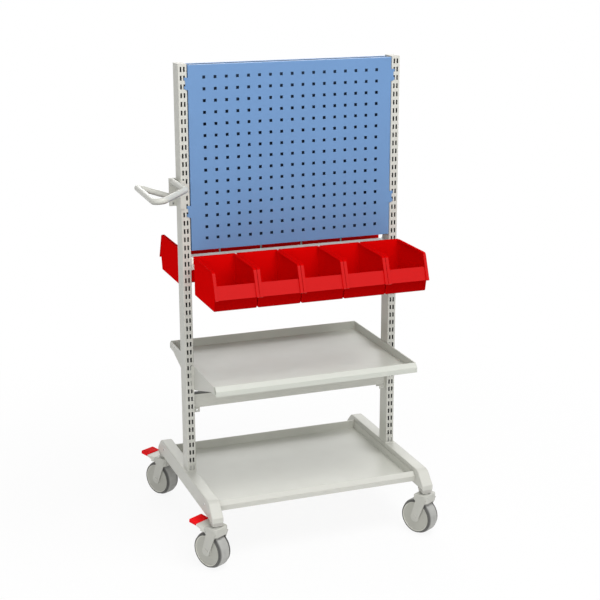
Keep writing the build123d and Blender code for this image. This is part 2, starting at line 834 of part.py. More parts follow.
def pedal_tread():
    half = tread_width / 2
    under = -(tongue_thickness + tread_fit + tread_under)
    pad = block((-half, half), (tread_fit, tread_length), (under, under + tread_thickness))
    pad = fillet(pad.edges().group_by(Axis.Z)[-1], tread_edge)
    wide = half - tongue_margin + tread_fit
    long = tread_length - tongue_margin + tread_fit
    pad -= block((-wide, wide), (0, long), (-tongue_thickness - tread_fit, tread_fit))
    return tread_place() * pad


def pedal_pin():
    pin = (pedal_pin_trail, pedal_pin_height)
    return rod((-fork_outer, *pin), (fork_outer, *pin), pedal_pin_radius)


nodes = {
    "left_upright": [upright(-1)],
    "right_upright": [upright(1)],
    "upright_caps": [upright_cap(-1), upright_cap(1)],
    "upright_spigots": [upright_spigot(-1), upright_spigot(1)],
    "left_foot": [foot(-1)],
    "right_foot": [foot(1)],
    "foot_end_caps": [end_cap(side, end) for side in (-1, 1) for end in (-1, 1)],
    "tray_screws": [tray_screw(side, end) for side in (-1, 1) for end in (-1, 1)],
    "bin_beam": [bin_beam()],
    "rail_screws": [
        screw(seat, direction, rail_sheet + 2 * beam_wall) for seat, direction in rail_screw_seats()
    ],
    "shelf_tray": [tray(shelf_rim)],
    "base_tray": [base_tray()],
    "cross_beam": [cross_beam()],
    "beam_brackets": [beam_bracket(), to_right(beam_bracket())],
    "beam_screws": beam_screws(),
    "handle_tube": [handle_tube()],
    "handle_bracket": [handle_bracket()],
    "handle_clamp": [handle_clamp()],
    "handle_screw": [handle_screw()],
}

front_panel = panel()
nodes["front_panel"] = [front_panel]
nodes["rear_panel"] = [to_rear(front_panel)]

front_rail = bin_rail()
nodes["front_bin_rail"] = [front_rail]
nodes["rear_bin_rail"] = [to_rear(front_rail)]

one_bin = hopper()
for number, place in enumerate(bin_places(), 1):
    nodes[f"front_bin_{number}"] = [place * one_bin]
    nodes[f"rear_bin_{number}"] = [to_rear(place * one_bin)]

left_bracket = shelf_bracket()
right_bracket = to_right(left_bracket)
nodes["left_front_shelf_bracket"] = [left_bracket]
nodes["right_front_shelf_bracket"] = [right_bracket]
nodes["left_rear_shelf_bracket"] = [to_rear(right_bracket)]
nodes["right_rear_shelf_bracket"] = [to_rear(left_bracket)]

nodes["castor_stems"] = []
for depth_name, end in (("front", -1), ("rear", 1)):
    for side_name, side in (("left", -1), ("right", 1)):
        place = Pos(side * foot_x, end * stem_y, 0) * Rot(0, 0, castor_turn)
        name = f"{depth_name}_{side_name}"
        braked = side < 0
        nodes["castor_stems"].append(place * castor_stem())
        nodes[f"{name}_fork"] = [place * fork(braked)]
        nodes[f"{name}_axle"] = [place * axle()]
        nodes[f"{name}_wheel"] = [place * wheel_disc()]
        nodes[f"{name}_tyre"] = [place * tyre()]
        if braked:
            nodes[f"{name}_pedal"] = [place * pedal()]
            nodes[f"{name}_tread"] = [place * pedal_tread()]
            nodes[f"{name}_pin"] = [place * pedal_pin()]

for name, pieces in nodes.items():
    solids = [solid for piece in pieces for solid in piece.solids()]
    export_step(Compound(solids), f"parts/{name}.step")
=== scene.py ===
import math

import bmesh
import bpy
from bpy.props import FloatProperty, FloatVectorProperty, IntProperty, PointerProperty
from mathutils import Matrix, Vector


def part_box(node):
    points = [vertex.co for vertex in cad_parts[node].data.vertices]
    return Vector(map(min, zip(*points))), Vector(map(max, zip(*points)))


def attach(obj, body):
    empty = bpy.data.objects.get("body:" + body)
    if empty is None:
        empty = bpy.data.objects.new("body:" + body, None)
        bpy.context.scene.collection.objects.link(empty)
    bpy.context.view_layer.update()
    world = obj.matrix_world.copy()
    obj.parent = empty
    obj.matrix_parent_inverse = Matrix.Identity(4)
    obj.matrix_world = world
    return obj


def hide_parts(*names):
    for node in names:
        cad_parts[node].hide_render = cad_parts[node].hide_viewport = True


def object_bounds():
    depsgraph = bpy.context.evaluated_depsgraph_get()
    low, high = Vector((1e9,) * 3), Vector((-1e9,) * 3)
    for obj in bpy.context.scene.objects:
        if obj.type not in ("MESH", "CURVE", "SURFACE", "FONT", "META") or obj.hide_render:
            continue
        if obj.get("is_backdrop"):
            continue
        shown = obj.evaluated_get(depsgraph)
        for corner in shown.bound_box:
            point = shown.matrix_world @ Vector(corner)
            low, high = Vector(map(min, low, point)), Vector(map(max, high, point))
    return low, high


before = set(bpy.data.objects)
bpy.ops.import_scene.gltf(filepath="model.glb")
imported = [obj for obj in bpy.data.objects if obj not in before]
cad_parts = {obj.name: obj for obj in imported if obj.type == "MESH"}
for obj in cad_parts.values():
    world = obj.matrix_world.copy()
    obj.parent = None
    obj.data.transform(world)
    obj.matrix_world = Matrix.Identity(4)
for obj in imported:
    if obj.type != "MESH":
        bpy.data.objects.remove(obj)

bl_info = {
    "name": "Utility Trolley",
    "version": (1, 0, 0),
    "blender": (4, 5, 0),
    "location": "View3D > Sidebar > Trolley",
    "description": "Dresses the packed trolley with finishes, small fittings and a studio",
    "category": "Object",
}

CAD_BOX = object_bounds()
ENDS = {"front": -1, "rear": 1}
SIDES = {"left": -1, "right": 1}
CASTORS = [f"{end}_{side}" for end in ENDS for side in SIDES]
BRAKED = ["front_left", "rear_left"]
BINS = [f"{end}_bin_{number}" for end in ENDS for number in range(1, 6)]

# Height of a face's normal, from 0 upright to 1 level, at which a shade starts and is full
LEVEL_LEAN = (0.55, 0.98)
# UNDER_BAR_LEAN sets where the handle's painted shade underneath comes in
UNDER_BAR_LEAN = (0.0, 0.9)
# RISING_LEAN and FALLING_LEAN set where the bins' painted shade on faces that lean up and down
# comes in
RISING_LEAN = (0.10, 0.34)
FALLING_LEAN = (0.05, 0.20)
LIP_STARTS = (0.20, 0.34)
LIP_ENDS = (0.45, 0.60)

# How far the clouds in a paint swing its shade each way
CLOUD_SWING = 0.03

# Shades of one paint or plastic, as factors of its colour; those named painted light or painted
# shade stand for light or shade
# Painted light: the bin beam and its rails are made lighter to stand for light on their strip
# under the panel
BEAM_PAINTED_LIGHT = 1.45
HANDLE_SHADE = 0.94
# Painted shade: the handle's underside is darkened to this share of its colour
UNDER_HANDLE_PAINTED_SHADE = 0.45
# Painted shade: the folded backs of the panels are darkened to this share of the blue
PANEL_BACK_PAINTED_SHADE = 0.25
# Painted light: the brake levers are made lighter than the forks to stand for light on them
LEVER_PAINTED_LIGHT = 1.3
PIN_SHADE = 0.7
RUBBED_SHADE = 0.55
# Painted shade: the bins' faces that lean up and faces that lean down are darkened to these
# shares
BIN_UPPER_PAINTED_SHADE = 0.72
BIN_UNDER_PAINTED_SHADE = 0.54

# Painted highlight on a wheel disc's rim and painted shade at its edge: how much of each shows,
# how much the highlight lightens, and the growth of its squared radius as it starts
HIGHLIGHT_RING = 0.6
HIGHLIGHT_RING_LIGHT = 1.5
HIGHLIGHT_RING_START = 1.04
SHADE_RING = 0.95
SHADE_RING_START = 1.03

# Angles, counts and shares of a length that shape the small fittings
SMOOTH_ANGLE = math.radians(32)
BEAD_SMOOTH_ANGLE = math.radians(60)
BEAD_WAIST = 0.82
HEAD_SIDES = 28
HEAD_ROUND = 0.75
HEAD_PROFILE = 0.6
TREAD_ROUND = 1 / 8
NEARLY_ALL = 0.9
NEARLY_HALF = 0.49

# Width of the studio floor, and the distances from the trolley between which its shadow ends
FLOOR_SIZE = 60
FLOOR_CLEARS = (0.9, 2.2)

WHITE = (1.0, 1.0, 1.0, 1.0)

# Sockets of a Mix node that mixes colours
MIX_FACTOR, MIX_LOW, MIX_HIGH, MIX_COLOUR = 0, 6, 7, 2


class TrolleySizes(bpy.types.PropertyGroup):
    """Sizes of the small fittings and of the patterns in the finishes"""
    screw_head: FloatProperty(
        name="Screw Head", description="Radius of a button screw head",
        default=0.0055, unit="LENGTH")
    screw_rise: FloatProperty(
        name="Screw Rise", description="Height of a button screw head",
        default=0.003, unit="LENGTH")
    screw_shank: FloatProperty(
        name="Screw Shank", description="Radius of a screw shank", default=0.003, unit="LENGTH")
    socket_radius: FloatProperty(
        name="Socket Radius", description="Corner radius of the hexagon socket",
        default=0.0026, unit="LENGTH")
    socket_depth: FloatProperty(
        name="Socket Depth", description="Depth of the hexagon socket",
        default=0.0018, unit="LENGTH")
    tread_width: FloatProperty(
        name="Tread Width", description="Width of a brake tread across its castor",
        default=0.058, unit="LENGTH")
    tread_length: FloatProperty(
        name="Tread Length", description="Length of a brake tread along its castor",
        default=0.0369, unit="LENGTH")
    tread_depth: FloatProperty(
        name="Tread Depth", description="Thickness of a brake tread under its ribs",
        default=0.0102, unit="LENGTH")
    tread_rib: FloatProperty(
        name="Tread Rib", description="Height of a grip rib on a brake tread",
        default=0.0008, unit="LENGTH")
    tread_ribs: IntProperty(
        name="Tread Ribs", description="Number of grip ribs on a brake tread",
        default=5, min=1, max=12)
    tread_tilt: FloatProperty(
        name="Tread Tilt", description="Rise of a brake tread away from its castor",
        default=math.radians(6.0), subtype="ANGLE")
    castor_turn: FloatProperty(
        name="Castor Turn", description="Angle of the wheel axles to the front of the trolley",
        default=math.radians(28.5), subtype="ANGLE")
    bracket_sheet: FloatProperty(
        name="Bracket Sheet", description="Thickness of the cross beam's end brackets",
        default=0.002, unit="LENGTH")
    saddle_inset: FloatProperty(
        name="Saddle Inset", description="Distance of a saddle screw from its bracket's wall",
        default=0.010, unit="LENGTH")
    bead_radius: FloatProperty(
        name="Bead Radius", description="Half width of a weld bead",
        default=0.0020, unit="LENGTH")
    bead_ripple: FloatProperty(
        name="Bead Ripple", description="Length of one ripple of a weld bead",
        default=0.0022, unit="LENGTH")
    tube_wall: FloatProperty(
        name="Tube Wall", description="Wall of the upright tubes", default=0.002, unit="LENGTH")
    panel_gap: FloatProperty(
        name="Panel Gap", description="Gap between a panel and an upright",
        default=0.0025, unit="LENGTH")
    panel_sheet: FloatProperty(
        name="Panel Sheet", description="Thickness of the perforated panels",
        default=0.0015, unit="LENGTH")
    tyre_band: FloatProperty(
        name="Tyre Band", description="Half width of the pale band on a tyre",
        default=0.015, unit="LENGTH")
    # Painted shade: the tyre is darkened outward from the pale band to this half width, standing
    # for the shade on its shoulders
    tyre_edge: FloatProperty(
        name="Tyre Edge", description="Half width of a tyre where its shoulder is darkest",
        default=0.022, unit="LENGTH")
    # Painted highlight: a wheel disc is made paler from this radius outward, standing for light
    # on its chamfer
    disc_highlight_radius: FloatProperty(
        name="Disc Land", description="Radius from which the rim of a wheel disc is rubbed paler",
        default=0.0495, unit="LENGTH")
    # Painted shade: a wheel disc is darkened from this radius outward, standing for the shade
    # between disc and tyre
    disc_shade_radius: FloatProperty(
        name="Disc Edge", description="Radius from which the edge of a wheel disc is dark",
        default=0.0525, unit="LENGTH")
    disc_rings: FloatProperty(
        name="Disc Rings", description="How close the turned rings of a wheel disc lie",
        default=60000.0)
    peel_size: FloatProperty(
        name="Peel Size", description="Width of the ripples in the powder coat",
        default=0.0022, unit="LENGTH")


class TrolleyColours(bpy.types.PropertyGroup):
    """Colours of the paints, plastics, rubber and steel, and of the painted shade and light among
    them
    """
    frame_grey: FloatVectorProperty(
        name="Frame Grey", description="Powder coat of the frame and the base tray",
        default=(0.60, 0.60, 0.55), subtype="COLOR", min=0, max=1)
    # Painted light: the frame grey made greener so that the shelf cancels the red light that the
    # bins bounce onto it
    shelf_grey_against_red_bounce: FloatVectorProperty(
        name="Tray Grey", description="Powder coat of the shelf tray",
        default=(0.592, 0.610, 0.553), subtype="COLOR", min=0, max=1)
    panel_blue: FloatVectorProperty(
        name="Panel Blue", description="Powder coat of the perforated panels",
        default=(0.136, 0.268, 0.500), subtype="COLOR", min=0, max=1)
    bin_red: FloatVectorProperty(
        name="Bin Red", description="Moulded plastic of the bins",
        default=(0.77, 0.0020, 0.0020), subtype="COLOR", min=0, max=1)
    tread_red: FloatVectorProperty(
        name="Tread Red", description="Moulded plastic of the brake treads",
        default=(0.92, 0.010, 0.014), subtype="COLOR", min=0, max=1)
    wheel_grey: FloatVectorProperty(
        name="Wheel Grey", description="Moulded plastic of the wheel discs",
        default=(0.455, 0.455, 0.41), subtype="COLOR", min=0, max=1)
    tyre_grey: FloatVectorProperty(
        name="Tyre Grey", description="Non-marking rubber of the tyres",
        default=(0.44, 0.44, 0.42), subtype="COLOR", min=0, max=1)
    fork_grey: FloatVectorProperty(
        name="Fork Grey", description="Coated castor forks and brake levers",
        default=(0.53, 0.53, 0.485), subtype="COLOR", min=0, max=1)
    cap_grey: FloatVectorProperty(
        name="Cap Grey", description="Moulded end caps",
        default=(0.54, 0.53, 0.49), subtype="COLOR", min=0, max=1)
    zinc: FloatVectorProperty(
        name="Zinc", description="Plated steel of screws and pins",
        default=(0.62, 0.62, 0.60), subtype="COLOR", min=0, max=1)
    # Painted shade: near-black colour that stands for the shade inside the upright tubes, on the
    # cut edges of their slots, on top of the cross beam and in the screw sockets
    shade_black: FloatVectorProperty(
        name="Bare Steel", description="Dark steel inside the uprights and on the cross beam",
        default=(0.020, 0.020, 0.019), subtype="COLOR", min=0, max=1)
    # Painted shade: dark grey that stands for the shade on the tyres' shoulders and at the edges
    # of the wheel discs
    shoulder_painted_shade: FloatVectorProperty(
        name="Shoulder Dark", description="Tyre shoulders and edges of the wheel discs",
        default=(0.10, 0.10, 0.095), subtype="COLOR", min=0, max=1)
    dust_grey: FloatVectorProperty(
        name="Dust Grey", description="Dust on level painted faces",
        default=(0.52, 0.51, 0.48), subtype="COLOR", min=0, max=1)
    floor_white: FloatVectorProperty(
        name="Floor White", description="Studio floor",
        default=(0.93, 0.93, 0.93), subtype="COLOR", min=0, max=1)


class TrolleyStudio(bpy.types.PropertyGroup):
    """Lights, floor and camera"""
    ambient: FloatProperty(
        name="Ambient", description="Strength of the all-round light", default=0.46, min=0, max=1)
    key_power: FloatProperty(
        name="Key Power", description="Power of the lamp overhead", default=98.0, min=0)
    key_place: FloatVectorProperty(
        name="Key Place", description="Where the lamp overhead hangs",
        default=(0.6, -1.6, 4.1), subtype="TRANSLATION")
    fill_power: FloatProperty(
        name="Fill Power", description="Power of the lamp at the front", default=42.0, min=0)
    fill_place: FloatVectorProperty(
        name="Fill Place", description="Where the lamp at the front hangs",
        default=(-2.2, -3.8, 2.0), subtype="TRANSLATION")
    rear_power: FloatProperty(
        name="Rear Power", description="Power of the lamp at the rear", default=50.0, min=0)
    rear_place: FloatVectorProperty(
        name="Rear Place", description="Where the lamp at the rear hangs",
        default=(1.2, 4.0, 2.1), subtype="TRANSLATION")
    lamp_width: FloatProperty(
        name="Lamp Width", description="Width of each lamp", default=3.0, unit="LENGTH")
    lamp_height: FloatProperty(
        name="Lamp Height", description="Height of each lamp", default=2.0, unit="LENGTH")
    lamp_aim: FloatVectorProperty(
        name="Lamp Aim", description="Point that the lamps face",
        default=(0.0, 0.0, 0.65), subtype="TRANSLATION")
    floor_glow: FloatProperty(
        name="Floor Glow", description="Share of plain white seen on the floor near the trolley",
        default=0.90, min=0, max=1)
    camera_place: FloatVectorProperty(
        name="Camera Place", description="Where the camera stands",
        default=(-1.556873, -4.277537, 2.072609), subtype="TRANSLATION")
    camera_turn: FloatProperty(
        name="Camera Turn", description="Turn of the camera away from the trolley's front",
        default=math.radians(20.44275), subtype="ANGLE")
    camera_fall: FloatProperty(
        name="Camera Fall", description="Angle at which the camera looks down",
        default=math.radians(15.61034), subtype="ANGLE")
    camera_roll: FloatProperty(
        name="Camera Roll", description="Tilt of the camera about its view",
        default=math.radians(0.11939), subtype="ANGLE")
    camera_view: FloatProperty(
        name="Camera View", description="Angle across the picture",
        default=math.radians(24.9055), subtype="ANGLE")


def sizes():
    return bpy.context.scene.trolley_sizes


def colours():
    return bpy.context.scene.trolley_colours


def studio():
    return bpy.context.scene.trolley_studio


class Link:
    """A socket of a material, on which arithmetic adds Math nodes."""

    def __init__(self, finish, socket):
        self.finish = finish
        self.socket = socket

    def __add__(self, other):
        return self.finish.math("ADD", self, other)

    def __radd__(self, other):
        return self.finish.math("ADD", other, self)

    def __sub__(self, other):
        return self.finish.math("SUBTRACT", self, other)

    def __rsub__(self, other):
        return self.finish.math("SUBTRACT", other, self)

    def __mul__(self, other):
        return self.finish.math("MULTIPLY", self, other)

    def __rmul__(self, other):
        return self.finish.math("MULTIPLY", other, self)

    def __abs__(self):
        return self.finish.math("ABSOLUTE", self)


class Finish:
    """A material or world under construction, with its shader."""

    def __init__(self, name, kind=bpy.data.materials, shader="Principled BSDF"):
        self.material = kind.new(name)
        self.material.use_nodes = True
        self.tree = self.material.node_tree
        self.shader = self.tree.nodes[shader]
        self.place = self.node("ShaderNodeTexCoord", {}, {}, "Object")

    def node(self, kind, settings, inputs, output=0):
        """Adds a node of a type, with its settings and the values or links of its sockets."""
        made = self.tree.nodes.new(kind)
        for key, value in settings.items():
            if key == "stops":
                self.set_stops(made.color_ramp, value)
            else:
                setattr(made, key, value)
        for key, value in inputs.items():
            self.feed(made.inputs[key], value)
        return Link(self, made.outputs[output])

    def math(self, operation, *values):
        """Adds a Math node on values or links."""
        return self.node("ShaderNodeMath", {"operation": operation}, dict(enumerate(values)))

    def set_stops(self, ramp, stops):
        """Gives a colour ramp its stops, each a position and a shade of grey."""
        while len(ramp.elements) < len(stops):
            ramp.elements.new(1.0)
        for element, (position, shade) in zip(ramp.elements, stops):
            element.position = position
            element.color = (shade, shade, shade, 1.0)

    def feed(self, socket, value):
        """Links a socket to a link, or gives it a plain value."""
        if isinstance(value, Link):
            self.tree.links.new(value.socket, socket)
        else:
            socket.default_value = value

    def shade(self, **values):
        """Sets or links sockets of the shader, with spaces in their names as underscores."""
        for key, value in values.items():
            self.feed(self.shader.inputs[key.replace("_", " ")], value)
        return self.material

    def noise(self, width, detail=2.0, stretch=(1.0, 1.0, 1.0)):
        """Noise whose lumps are about as wide as given, in metres."""
        where = self.place
        if stretch != (1.0, 1.0, 1.0):
            where = self.node("ShaderNodeMapping", {}, {"Vector": self.place, "Scale": stretch})
        return self.node(
            "ShaderNodeTexNoise", {},
            {"Vector": where, "Scale": 1.0 / width, "Detail": detail}, "Fac")

    def ramp(self, value, *stops):
        """Shade of grey that goes through the stops with the value."""
        return self.node("ShaderNodeValToRGB", {"stops": stops}, {"Fac": value})

    def tint(self, amount, low, high):
        """Goes from low, a colour or a link, to the colour high with the amount."""
        low = low if isinstance(low, Link) else (*low, 1.0)
        return self.node(
            "ShaderNodeMix", {"data_type": "RGBA"},
            {MIX_FACTOR: amount, MIX_LOW: low, MIX_HIGH: (*high, 1.0)}, MIX_COLOUR)

    def along(self, axis):
        """Object coordinate along X, Y or Z."""
        return self.node("ShaderNodeSeparateXYZ", {}, {"Vector": self.place}, axis)

    def rise(self, value, start, end):
        """0 up to a start, 1 from an end on and smooth between them."""
        return self.node(
            "ShaderNodeMapRange", {"interpolation_type": "SMOOTHSTEP"},
            {"Value": value, "From Min": start, "From Max": end}, "Result")

    def lean(self):
        """1 on faces that look up, 0 on upright ones and -1 on ones that look down."""
        normal = self.node("ShaderNodeNewGeometry", {}, {}, "Normal")
        return self.node("ShaderNodeSeparateXYZ", {}, {"Vector": normal}, "Z")

    def level(self, way):
        """1 on level faces that look up, or down with a way of -1, and 0 on upright ones."""
        return self.rise(way * self.lean(), *LEVEL_LEAN)

    def bump(self, height, strength, distance):
        """Normal of a surface with the given relief."""
        return self.node(
            "ShaderNodeBump", {},
            {"Height": height, "Strength": strength, "Distance": distance}, "Normal")


def scaled(colour, factor):
    """A colour made lighter or darker, up to full white."""
    return tuple(min(1.0, channel * factor) for channel in colour)


def powder_coat(name, colour, roughness, painted_shade_mask=None, painted_shade_colour=None):
    """Baked powder paint: faint clouds of shade, fine peel, scuffs and dust on level faces.

    A painted shade mask, if there is one, turns the paint into the painted shade colour.
    """
    coat = Finish(name)
    clouds = coat.noise(width=0.11, detail=3.0)
    peel = coat.noise(width=sizes().peel_size)
    specks = coat.ramp(coat.noise(width=0.0011, detail=1.0), (0.66, 0.0), (0.74, 1.0))
    streaks = coat.noise(width=0.006, detail=5.0, stretch=(0.15, 1.0, 1.0))
    scuffs = coat.ramp(streaks, (0.62, 0.0), (0.78, 1.0))
    darker, lighter = scaled(colour, 1.0 - CLOUD_SWING), scaled(colour, 1.0 + CLOUD_SWING)
    paint = coat.tint(clouds, darker, lighter)
    patches = coat.noise(width=0.045, detail=4.0)
    dust = coat.level(1) * coat.ramp(patches, (0.35, 0.0), (0.85, 0.12))
    paint = coat.tint(dust, paint, colours().dust_grey)
    if painted_shade_mask:
        paint = coat.tint(painted_shade_mask(coat), paint, painted_shade_colour)
    return coat.shade(
        Base_Color=paint,
        Roughness=roughness + 0.10 * clouds + 0.25 * dust + 0.05 * specks + 0.08 * scuffs,
        Normal=coat.bump(peel, strength=0.10, distance=0.0004))


def inside_tube(coat):
    """1 inside either upright tube and on the cut edges of its slots, and 0 on its outside: where
    the slots get their painted shade.
    """
    low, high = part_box("right_upright")
    half = (high - low) / 2
    wall = sizes().tube_wall
    skin = 0.25 * wall
    slotted = half.x - 2.0 * wall
    across = abs(abs(coat.along("X")) - (low.x + high.x) / 2)
    deep = abs(coat.along("Y"))
    inside = within(coat, across, half.x, wall) * within(coat, deep, half.y, wall)
    edges = within(coat, across, slotted, wall) * within(coat, deep, half.y, skin)
    return coat.math("MAXIMUM", inside, edges)


def topside(coat):
    """1 on top of a bar, 0 on its sides and underneath; the cross beam takes painted shade there.
    """
    return coat.level(1)


def underside(coat):
    """1 underneath a bar, 0 on its top half; the handle takes painted shade there."""
    return coat.rise(-1 * coat.lean(), *UNDER_BAR_LEAN)


def behind_panel(coat):
    """1 in the folded back of either panel and 0 on its outside; the blue is darkened there as
    painted shade, so the holes look dark.
    """
    low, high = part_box("rear_panel")
    sheet = sizes().panel_sheet
    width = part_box("right_upright")[0].x - sizes().panel_gap
    upward = abs(coat.along("Z") - (low.z + high.z) / 2)
    mask = within(coat, abs(coat.along("Y")), high.y, sheet)
    mask = mask * within(coat, upward, (high.z - low.z) / 2, sheet)
    return mask * within(coat, abs(coat.along("X")), width, sheet)


def within(coat, span, size, wall):
    """1 inside a wall and 0 on its outside, for a span from the middle."""
    margin = 0.25 * wall
    return 1.0 - coat.rise(span, size - wall + margin, size - margin)


def moulded(name, colour, roughness, grain, gloss, sheen=0.0, upper=1.0, under=1.0):
    """Moulded plastic: slow shade drift, flow marks, fine grain and an underside rubbed grey.

    Faces that lean up or down can take painted shade, given as factors upper and under, and lips
    that lean back have a sheen.
    """
    plastic = Finish(name)
    drift = plastic.noise(width=0.16)
    flow = plastic.noise(width=0.035, detail=3.0, stretch=(1.0, 1.0, 0.25))
    texture = plastic.noise(width=grain)
    mixed = 0.65 * drift + 0.35 * flow
    body = plastic.tint(mixed, scaled(colour, 0.90), scaled(colour, 1.06))
    lean = plastic.lean()
    # Painted shade: faces that lean up and faces that lean down get darker copies of the colour
    body = plastic.tint(plastic.rise(lean, *RISING_LEAN), body, scaled(colour, upper))
    body = plastic.tint(plastic.rise(-1 * lean, *FALLING_LEAN), body, scaled(colour, under))
    coat = 0.0
    if sheen:
        lip = plastic.rise(lean, *LIP_STARTS) * (1.0 - plastic.rise(lean, *LIP_ENDS))
        coat = sheen * lip
    streaks = plastic.noise(width=0.012, detail=5.0, stretch=(0.3, 1.0, 1.0))
    scuffs = plastic.ramp(streaks, (0.60, 0.0), (0.80, 1.0))
    patches = plastic.noise(width=0.02, detail=4.0)
    rubbed = plastic.level(-1) * plastic.ramp(patches, (0.25, 0.70), (0.65, 0.95))
    body = plastic.tint(rubbed, body, scaled(colours().cap_grey, RUBBED_SHADE))
    return plastic.shade(
        Base_Color=body,
        Roughness=roughness + 0.08 * flow + 0.12 * scuffs,
        Specular_IOR_Level=gloss,
        Coat_Weight=coat,
        Coat_Roughness=roughness,
        Normal=plastic.bump(texture, strength=0.12, distance=0.0003))


def wheel_place(finish, node):
    """Offset along a wheel's axle and squared distance from it."""
    low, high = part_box(node)
    middle = (low + high) / 2
    turn = sizes().castor_turn
    x, y, z = (finish.along(axis) - value for axis, value in zip("XYZ", middle))
    offset = math.cos(turn) * x + math.sin(turn) * y
    ahead = math.cos(turn) * y - math.sin(turn) * x
    return offset, ahead * ahead + z * z


def rubber(node, colour, shoulder, roughness):
    """Non-marking rubber: dusty bloom over a fine pitted skin, with painted shade on the
    shoulders.
    """
    size = sizes()
    skin = Finish(f"{node}_rubber")
    bloom = skin.noise(width=0.03, detail=4.0)
    pits = skin.noise(width=0.0016, detail=3.0)
    patches = skin.ramp(bloom, (0.3, 0.0), (0.7, 1.0))
    tone = skin.tint(patches, scaled(colour, 0.90), scaled(colour, 1.08))
    offset = wheel_place(skin, node)[0]
    # Painted shade on the tyre's shoulders
    shoulder_shade = skin.rise(abs(offset), size.tyre_band, size.tyre_edge)
    tone = skin.tint(shoulder_shade, tone, shoulder)
    return skin.shade(
        Base_Color=tone,
        Roughness=roughness + 0.12 * bloom,
        Normal=skin.bump(pits, strength=0.2, distance=0.0004))


def disc_plastic(node, colour, roughness):
    """Moulded wheel disc: turned rings and a drift of shade, with a painted highlight on its rim
    and painted shade at its edge.
    """
    size = sizes()
    plastic = Finish(f"{node}_plastic")
    drift = plastic.noise(width=0.05, detail=3.0)
    grain = plastic.noise(width=0.0012)
    reach = wheel_place(plastic, node)[1]
    land, edge = size.disc_highlight_radius ** 2, size.disc_shade_radius ** 2
    # Painted highlight on the rim and painted shade at the edge
    rim = HIGHLIGHT_RING * plastic.rise(reach, land, HIGHLIGHT_RING_START * land)
    dark = SHADE_RING * plastic.rise(reach, edge, SHADE_RING_START * edge)
    body = plastic.tint(drift, scaled(colour, 0.94), scaled(colour, 1.05))
    body = plastic.tint(rim, body, scaled(colour, HIGHLIGHT_RING_LIGHT))
    body = plastic.tint(dark, body, colours().shoulder_painted_shade)
    rings = plastic.math("SINE", size.disc_rings * reach)
    return plastic.shade(
        Base_Color=body,
        Roughness=roughness + 0.10 * drift,
        Specular_IOR_Level=0.3,
        Normal=plastic.bump(0.6 * grain + 0.4 * rings, strength=0.10, distance=0.0002))


def plated(name, colour, roughness):
    """Zinc plate: drawn lines along the bar and a cloudy passivate."""
    plate = Finish(name)
    lines = plate.noise(width=0.0012, stretch=(0.08, 1.0, 1.0))
    cloudy = plate.noise(width=0.006, detail=3.0)
    tone = plate.tint(cloudy, scaled(colour, 0.88), scaled(colour, 1.08))
    return plate.shade(
        Base_Color=tone,
        Metallic=1.0,
        Roughness=roughness + 0.15 * lines,
        Normal=plate.bump(lines, strength=0.08, distance=0.0002))


def shadowed(name, colour):
    """Painted shade at the bottom of a socket: near-black steel with a speckle of tone."""
    socket_shade_finish = Finish(name)
    speckle = socket_shade_finish.noise(width=0.0008, detail=3.0)
    tone = socket_shade_finish.tint(speckle, scaled(colour, 0.7), scaled(colour, 1.5))
    return socket_shade_finish.shade(Base_Color=tone, Roughness=0.6 + 0.3 * speckle)


def seen(finish):
    """1 for rays from the camera, mirrors and glass, and 0 for light that only bounces."""
    kinds = ("Camera", "Glossy", "Transmission")
    rays = [finish.node("ShaderNodeLightPath", {}, {}, f"Is {kind} Ray") for kind in kinds]
    return finish.math("MAXIMUM", rays[0], finish.math("MAXIMUM", rays[1], rays[2]))


def dress(material, *nodes):
    """Gives CAD nodes one finish."""
    for node in nodes:
        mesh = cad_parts[node].data
        mesh.materials.clear()
        mesh.materials.append(material)


def fresh():
    """Leaves edit mode and deselects everything."""
    if bpy.context.object and bpy.context.object.mode != "OBJECT":
        bpy.ops.object.mode_set(mode="OBJECT")
    bpy.ops.object.select_all(action="DESELECT")


def begin(name, add, **values):
    """Adds a primitive by its operator and returns it under a name."""
    fresh()
    add(**values)
    piece = bpy.context.object
    piece.name = name
    piece.data.name = name
    return piece


def pick(piece, kind, test):
    """Enters edit mode with only the faces or edges selected that pass the test."""
    if piece.mode != "EDIT":
        bpy.ops.object.mode_set(mode="EDIT")
    bpy.ops.mesh.select_mode(type=kind)
    bpy.ops.mesh.select_all(action="DESELECT")
    shape = bmesh.from_edit_mesh(piece.data)
    for part in shape.faces if kind == "FACE" else shape.edges:
        part.select_set(test(part))
    shape.select_flush_mode()
    bmesh.update_edit_mesh(piece.data)


def apply_modifiers(piece):
    """Applies the modifiers of the active piece in their order."""
    for modifier in list(piece.modifiers):
        bpy.ops.object.modifier_apply(modifier=modifier.name)


def soften(piece, angle=SMOOTH_ANGLE):
    """Shades a piece smooth, apart from edges sharper than the angle."""
    fresh()
    piece.select_set(True)
    bpy.context.view_layer.objects.active = piece
    bpy.ops.object.shade_smooth_by_angle(angle=angle)


def copies(model, places, name):
    """Copies a model to each place and joins the copies under a name."""
    made = []
    for place in places:
        twin = model.copy()
        twin.data = model.data.copy()
        bpy.context.scene.collection.objects.link(twin)
        twin.matrix_world = place
        made.append(twin)
    fresh()
    for twin in made:
        twin.select_set(True)
    bpy.context.view_layer.objects.active = made[0]
    bpy.ops.object.transform_apply(location=True, rotation=True, scale=True)
    if len(made) > 1:
        bpy.ops.object.join()
    made[0].name = name
    made[0].data.name = name
    return made[0]


def facing(direction, seat):
    """Place whose Z axis runs along a direction from a seat."""
    turn = Vector((0, 0, 1)).rotation_difference(Vector(direction))
    return Matrix.Translation(Vector(seat)) @ turn.to_matrix().to_4x4()


